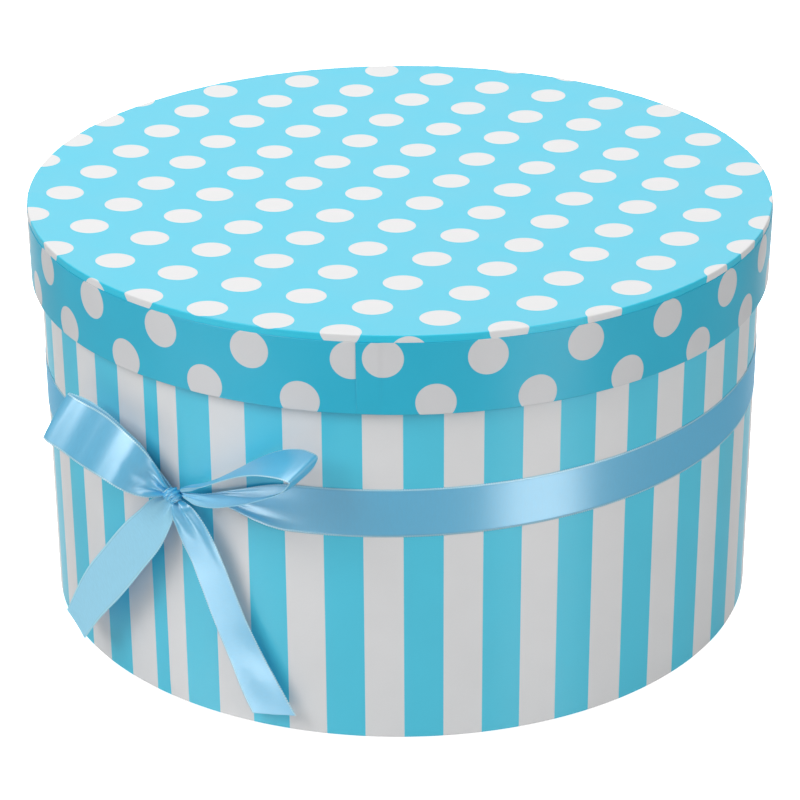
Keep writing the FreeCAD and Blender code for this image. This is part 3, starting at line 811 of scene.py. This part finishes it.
def bow_strip(name, stations, knotted_ends, pleat_waves, crown, swells=()):
    """A ribbon ruled between two edges, in millimetres right of, out from and above the knot.

    Width that the edges leave unused goes into pleats that die out within one width of
    the knot; crown bends the cloth about its own length. Each swell is a soft hill or
    hollow: (place across, its reach, place along, its reach, height in mm). The second
    value handed back is the strip's length.
    """
    edges = smooth_edges(stations, 0.0003)
    middle = edges.mean(axis=1)
    width = np.linalg.norm(edges[:, 1] - edges[:, 0], axis=1)
    side = (edges[:, 1] - edges[:, 0]) / width[:, None]
    way = np.gradient(middle, axis=0)
    face = np.cross(way, side)
    face /= np.linalg.norm(face, axis=1)[:, None]
    along = line_length(middle)
    from_knot = along if knotted_ends == 1 else np.minimum(along, along[-1] - along)
    across = np.linspace(-1, 1, 41)
    spare = np.clip(RIBBON / width - 1, 0, 1.6)
    depth = 0.12 * np.sqrt(spare) * width * (1 - smooth_step(from_knot / PLEATS_END))
    ripple = np.sin(math.pi * pleat_waves * (across + 0.12 * np.sin(along * 90)[:, None]) + 0.8)
    height = depth[:, None] * ripple + crown * width[:, None] * (1 - across ** 2)
    for over, over_reach, at, at_reach, swell in swells:
        hill_across = np.exp(-((across - over) / over_reach) ** 2)
        hill_along = np.exp(-((along - at) / at_reach) ** 2)
        height = height + swell / 1000 * hill_across * hill_along[:, None]
    tooth = picot_teeth(along)[:, None] * np.where(np.abs(across) > 0.99, np.sign(across), 0)
    points = (middle[:, None] + side[:, None] * (width[:, None] / 2 * across + tooth)[..., None]
              + face[:, None] * height[..., None])
    placed = points * (1, -1, 1) + (KNOT.x, -WALL_RADIUS, KNOT.z)
    flat = np.stack(np.broadcast_arrays(across * RIBBON / 2, along[:, None]), axis=-1)
    return grid_mesh(name, placed, flat), along[-1]


LEFT_LOOP = [
    ((-2.5, 5, 2), (-4.5, 5, -1.5)),
    ((-11, 4, 8.5), (-18, 4, -6.5)),
    ((-21, 2.5, 17.5), (-33.5, 5, -7.5)),
    ((-30, 2.5, 23), (-45, 7.5, -3)),
    ((-42, 3.5, 30.5), (-55, 10, 4)),
    ((-54.5, 5, 35.5), (-65, 13.5, 11.5)),
    ((-62.5, 6.5, 36.5), (-72, 16, 14)),
    ((-58.5, 7.5, 36), (-69, 17, 13)),
    ((-52, 7.5, 34.5), (-62, 17, 11)),
    ((-37, 10, 33), (-47, 20.5, 9)),
    ((-22, 13.5, 29.5), (-31.5, 24, 8)),
    ((-14, 14, 25.5), (-22.5, 24.5, 6)),
    ((-9, 13, 20.5), (-17, 22, 3)),
    ((-6, 10.5, 13.5), (-11.5, 16, -0.5)),
    ((-3.5, 8.5, 5.5), (-6, 11, -1)),
    ((-1.5, 7, 2), (-2, 8, -0.5)),
]
LEFT_LOOP_HOLLOW = (0.1, 0.25, 0.134, 0.008, -1.6)
left_loop, left_loop_length = bow_strip(
    "satin_loop_left", LEFT_LOOP, knotted_ends=2, pleat_waves=2.4, crown=0.02,
    swells=[LEFT_LOOP_HOLLOW])
finish_ribbon(left_loop, "bow_loop_left", turned_over=True)

RIGHT_LOOP = [
    ((3.5, 5, 2.5), (5.5, 8, 3.5)),
    ((14.5, 3, 7.5), (20.5, 14, 11.5)),
    ((25, 1, 13.5), (31.5, 18, 18.5)),
    ((35, -1, 20.5), (42.5, 20, 25)),
    ((45.5, -2, 28), (52.5, 21, 30)),
    ((55.5, -2.5, 34), (62, 22, 33.5)),
    ((65.5, -2.5, 38), (70, 22, 35)),
    ((74, -2, 39.5), (76.5, 22, 35.5)),
    ((79.5, -1.5, 38.5), (80, 21.5, 34.5)),
    ((77.5, -2.5, 34), (78.5, 21.5, 32)),
    ((69, -2.5, 23.5), (72.5, 21.5, 26.5)),
    ((63, 1, 17.5), (64.5, 21.5, 22)),
    ((56, 5.5, 14.5), (56, 21.5, 17.5)),
    ((47, 8, 12), (46, 21, 13)),
    ((35.5, 8, 10), (33, 19, 7.5)),
    ((23, 7.5, 7), (21, 15.5, 4)),
    ((11.5, 7, 4), (11, 10, 1.5)),
    ((5.5, 6, 2), (6.5, 8, 1)),
]
right_loop, right_loop_length = bow_strip(
    "satin_loop_right", RIGHT_LOOP, knotted_ends=2, pleat_waves=2.2, crown=0.02)
finish_ribbon(right_loop, "bow_loop_right", turned_over=True)

LEFT_TAIL = [
    ((-1, 8, 0), (2.5, 8, -2)),
    ((-13.5, 6, -6.5), (1, 10, -12.5)),
    ((-23, 5, -16), (-4, 12, -26)),
    ((-33.5, 4, -26.5), (-16, 13, -43)),
    ((-50.5, 1, -46.5), (-31.5, 12.5, -63)),
    ((-66, -1, -66.5), (-47, 11.5, -81)),
    ((-81.5, -3, -94), (-59, 10, -97)),
]
left_tail, left_tail_length = bow_strip(
    "satin_tail_left", LEFT_TAIL, knotted_ends=1, pleat_waves=2.0, crown=0.015)
finish_ribbon(left_tail, "bow_tail_left", turned_over=True)

RIGHT_TAIL = [
    ((-0.5, 8, -3), (4.5, 8, -1)),
    ((0, 10, -9), (11, 9.5, -2.5)),
    ((3, 10, -15.5), (17, 8.5, -8.5)),
    ((6.5, 9.5, -23), (23, 7.5, -17)),
    ((10.5, 9, -30.5), (27, 6, -27)),
    ((14.5, 7.5, -43.5), (31.5, 4, -41.5)),
    ((21, 5.5, -64), (38, 2, -60)),
    ((29, 4, -84.5), (47.5, 0.5, -79)),
    ((34.5, 2.5, -100.5), (54.5, -1.5, -93)),
    ((39.5, 1.5, -111), (62.5, -3, -107)),
]
RIGHT_TAIL_HILL = (0.75, 0.22, 0.012, 0.014, 1.3)
RIGHT_TAIL_BEND = (0.1, 0.7, 0.098, 0.01, 0.7)
right_tail, right_tail_length = bow_strip(
    "satin_tail_right", RIGHT_TAIL, knotted_ends=1, pleat_waves=2.0, crown=-0.015,
    swells=[RIGHT_TAIL_HILL, RIGHT_TAIL_BEND])
finish_ribbon(right_tail, "bow_tail_right")

# ---- knot
# The middle of the bow: one gathered turn of the ribbon pulled tight round the roots of
# the loops and tails, so its face is a bundle of small slanting folds.
KNOT_RADIUS = 0.0035
KNOT_HALF_LENGTH = 0.0038
KNOT_SLANT = math.radians(-38)
KNOT_OUT = 0.0082
COARSE_FOLD = 0.00045
FINE_FOLD = 0.0002
knot_round = np.linspace(0, 2 * math.pi, 241)
knot_across = np.linspace(-1, 1, 61)
knot_reach = KNOT_RADIUS * (1 - 0.42 * knot_across ** 2)
knot_reach = knot_reach + COARSE_FOLD * np.sin(11 * knot_across + 1.3 * np.sin(knot_round)[:, None])
knot_reach += FINE_FOLD * np.sin(23 * knot_across + 3 * knot_round[:, None])
knot_sideways = KNOT_HALF_LENGTH * knot_across + 0.0005 * np.sin(knot_round)[:, None]
knot_points = np.stack([knot_sideways,
                        knot_reach * 1.15 * np.cos(knot_round)[:, None],
                        knot_reach * np.sin(knot_round)[:, None]], axis=-1)
knot_points = knot_points @ np.array(Matrix.Rotation(KNOT_SLANT, 3, "Y"))
knot_points += (0.0008, -WALL_RADIUS - KNOT_OUT, KNOT.z + 0.0002)
turn_length = 0.0045 * knot_round[:, None]
knot_flat = np.stack(np.broadcast_arrays(knot_across * RIBBON / 2, turn_length), axis=-1)
knot = grid_mesh("satin_knot", knot_points, knot_flat)
finish_ribbon(knot, "bow_knot")

# ---- floor and light
# A white floor and backdrop that look pure white to the camera and light the box softly;
# a large soft light high on the left, a second on the right that streaks the satin, a
# small one overhead, and a wide one behind that gives the varnish its pale gloss.
FLOOR_SIZE = 60
ROOM_GLOW = 0.33
SEEN_GLOW = 1.0
bpy.ops.mesh.primitive_grid_add(x_subdivisions=4, y_subdivisions=4, size=FLOOR_SIZE,
                                location=(0, 0, cad_box[0][2]))
floor = bpy.context.object
floor.name = "floor"
floor_white, tree, shader = new_material("floor_white", (0.85, 0.85, 0.85), 0.25)
shader.inputs["Metallic"].default_value = 1.0
shader.inputs["Emission Color"].default_value = (1, 1, 1, 1)
seen = add_node(tree, "ShaderNodeLightPath").outputs["Is Camera Ray"]
tree.links.new(seen, shader.inputs["Emission Strength"])
floor.data.materials.append(floor_white)

world = bpy.data.worlds.new("studio")
bpy.context.scene.world = world
world.use_nodes = True
backdrop = world.node_tree.nodes["Background"]
backdrop.inputs["Color"].default_value = (1, 1, 1, 1)
seen = add_node(world.node_tree, "ShaderNodeLightPath").outputs["Is Camera Ray"]
glow = add_node(world.node_tree, "ShaderNodeMapRange",
                [("Value", seen), ("To Min", ROOM_GLOW), ("To Max", SEEN_GLOW)])
world.node_tree.links.new(glow.outputs[0], backdrop.inputs["Strength"])
HALF_WAY_UP = 0.1


def softbox(name, turn, height, distance, width, depth, power):
    """A rectangle of light that faces the box.

    turn is counted from the camera's side in degrees, the rest is in metres and watts.
    """
    data = bpy.data.lights.new(name, "AREA")
    data.shape = "RECTANGLE"
    data.size = width
    data.size_y = depth
    data.energy = power
    lamp = bpy.data.objects.new(name, data)
    bpy.context.scene.collection.objects.link(lamp)
    tilt = math.atan2(distance, height)
    lamp.matrix_world = (
        Matrix.Rotation(math.radians(BOW_TO_CAMERA + turn), 4, "Z")
        @ Matrix.Translation((0, -distance, height + HALF_WAY_UP))
        @ Matrix.Rotation(tilt, 4, "X")
    )


softbox("key", -55, 1.3, 1.6, 1.1, 1.1, 17.0)
softbox("right", 42, 0.75, 1.9, 0.9, 1.1, 9.2)
softbox("overhead", 0, 1.6, -0.4, 0.7, 0.7, 6.5)
softbox("behind", 180, 1.25, 2.2, 3.2, 1.6, 15.0)

bpy.context.scene.view_settings.view_transform = "Standard"
